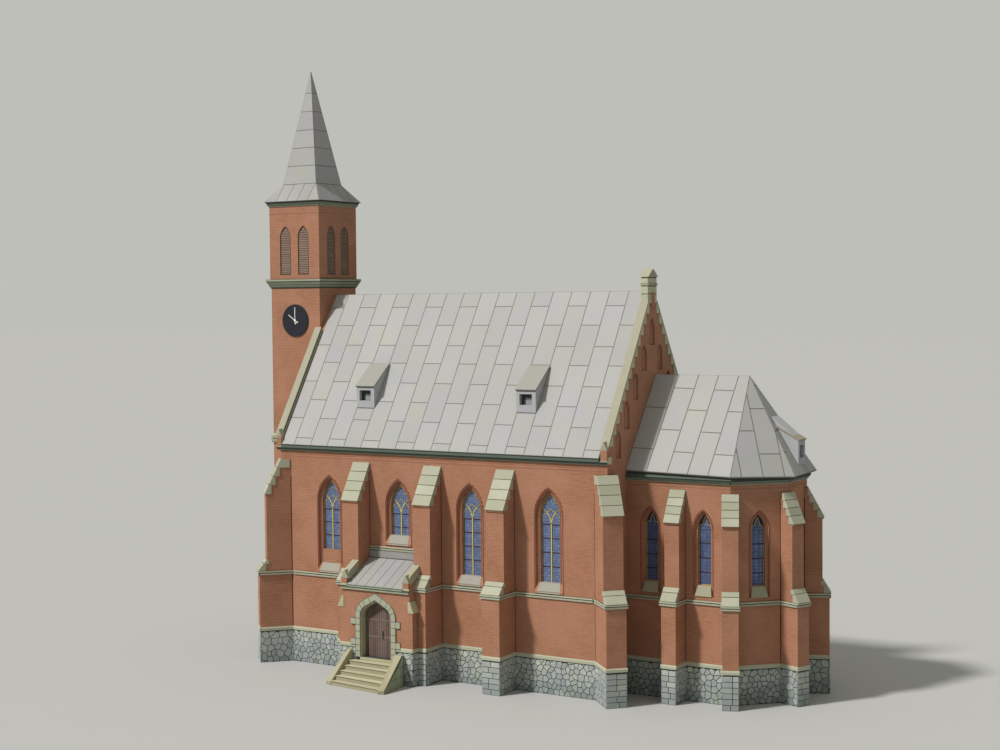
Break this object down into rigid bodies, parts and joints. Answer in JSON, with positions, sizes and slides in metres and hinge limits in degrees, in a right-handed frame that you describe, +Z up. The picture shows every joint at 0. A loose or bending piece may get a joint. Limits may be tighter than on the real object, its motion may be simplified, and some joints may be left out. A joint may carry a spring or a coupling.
{
  "type": "card model of a brick church",
  "caption": "Card model of a brick church: square west tower with spire, pitched-roof nave with buttresses, side porch with steps, polygonal choir.",
  "frame": {"origin": "on the ground plane under the middle of the model's bounding box", "axes": "+X along the nave from the west tower to the choir, +Z up, -Y towards the side with the porch"},
  "size_m": [0.1989, 0.0968, 0.2],
  "materials": {
    "brick_card": "matt card printed with brickwork",
    "stone_card": "matt card printed as pale stone",
    "roof_card": "matt card printed as grey sheet roofing",
    "cornice_card": "matt card printed as grey-green moulding",
    "window_card": "matt card printed as blue leaded glass",
    "louvre_card": "matt card printed as brown louvre boards",
    "clock_card": "matt near-black card",
    "door_card": "matt card printed as brown planks"
  },
  "bodies": {
    "root": {"nave_south_wall": "brick_card", "nave_north_wall": "brick_card", "nave_west_wall": "brick_card", "nave_east_wall": "brick_card", "tower_shaft": "brick_card", "belfry": "brick_card", "choir_walls": "brick_card", "porch_walls": "brick_card", "nave_south_buttress_1": "brick_card", "nave_south_buttress_2": "brick_card", "nave_south_buttress_3": "brick_card", "nave_north_buttress_1": "brick_card", "nave_north_buttress_2": "brick_card", "nave_north_buttress_3": "brick_card", "southwest_corner_buttress": "brick_card", "southeast_corner_buttress": "brick_card", "northeast_corner_buttress": "brick_card", "northwest_corner_buttress": "brick_card", "choir_south_buttress": "brick_card", "choir_north_buttress": "brick_card", "apse_buttress_south": "brick_card", "apse_buttress_southeast": "brick_card", "apse_buttress_northeast": "brick_card", "apse_buttress_north": "brick_card", "west_coping_south": "stone_card", "west_coping_north": "stone_card", "east_coping_south": "stone_card", "east_coping_north": "stone_card", "ridge_finial": "stone_card", "porch_coping_west": "stone_card", "porch_coping_east": "stone_card", "porch_door_surround": "stone_card", "porch_steps": "stone_card", "nave_roof": "roof_card", "choir_roof": "roof_card", "spire": "roof_card", "spire_skirt": "roof_card", "porch_roof": "roof_card", "south_dormer_west": "roof_card", "south_dormer_east": "roof_card", "north_dormer_west": "roof_card", "north_dormer_east": "roof_card", "apse_dormer": "roof_card", "south_eave_cornice": "cornice_card", "north_eave_cornice": "cornice_card", "shaft_cornice": "cornice_card", "belfry_cornice": "cornice_card", "choir_cornice": "cornice_card", "porch_cornice": "cornice_card", "tower_string": "cornice_card", "nave_south_windows": "window_card", "nave_north_windows": "window_card", "choir_windows": "window_card", "belfry_louvres": "louvre_card", "south_clock": "clock_card", "west_clock": "clock_card", "north_clock": "clock_card", "porch_door": "door_card"}
  },
  "joints": []
}
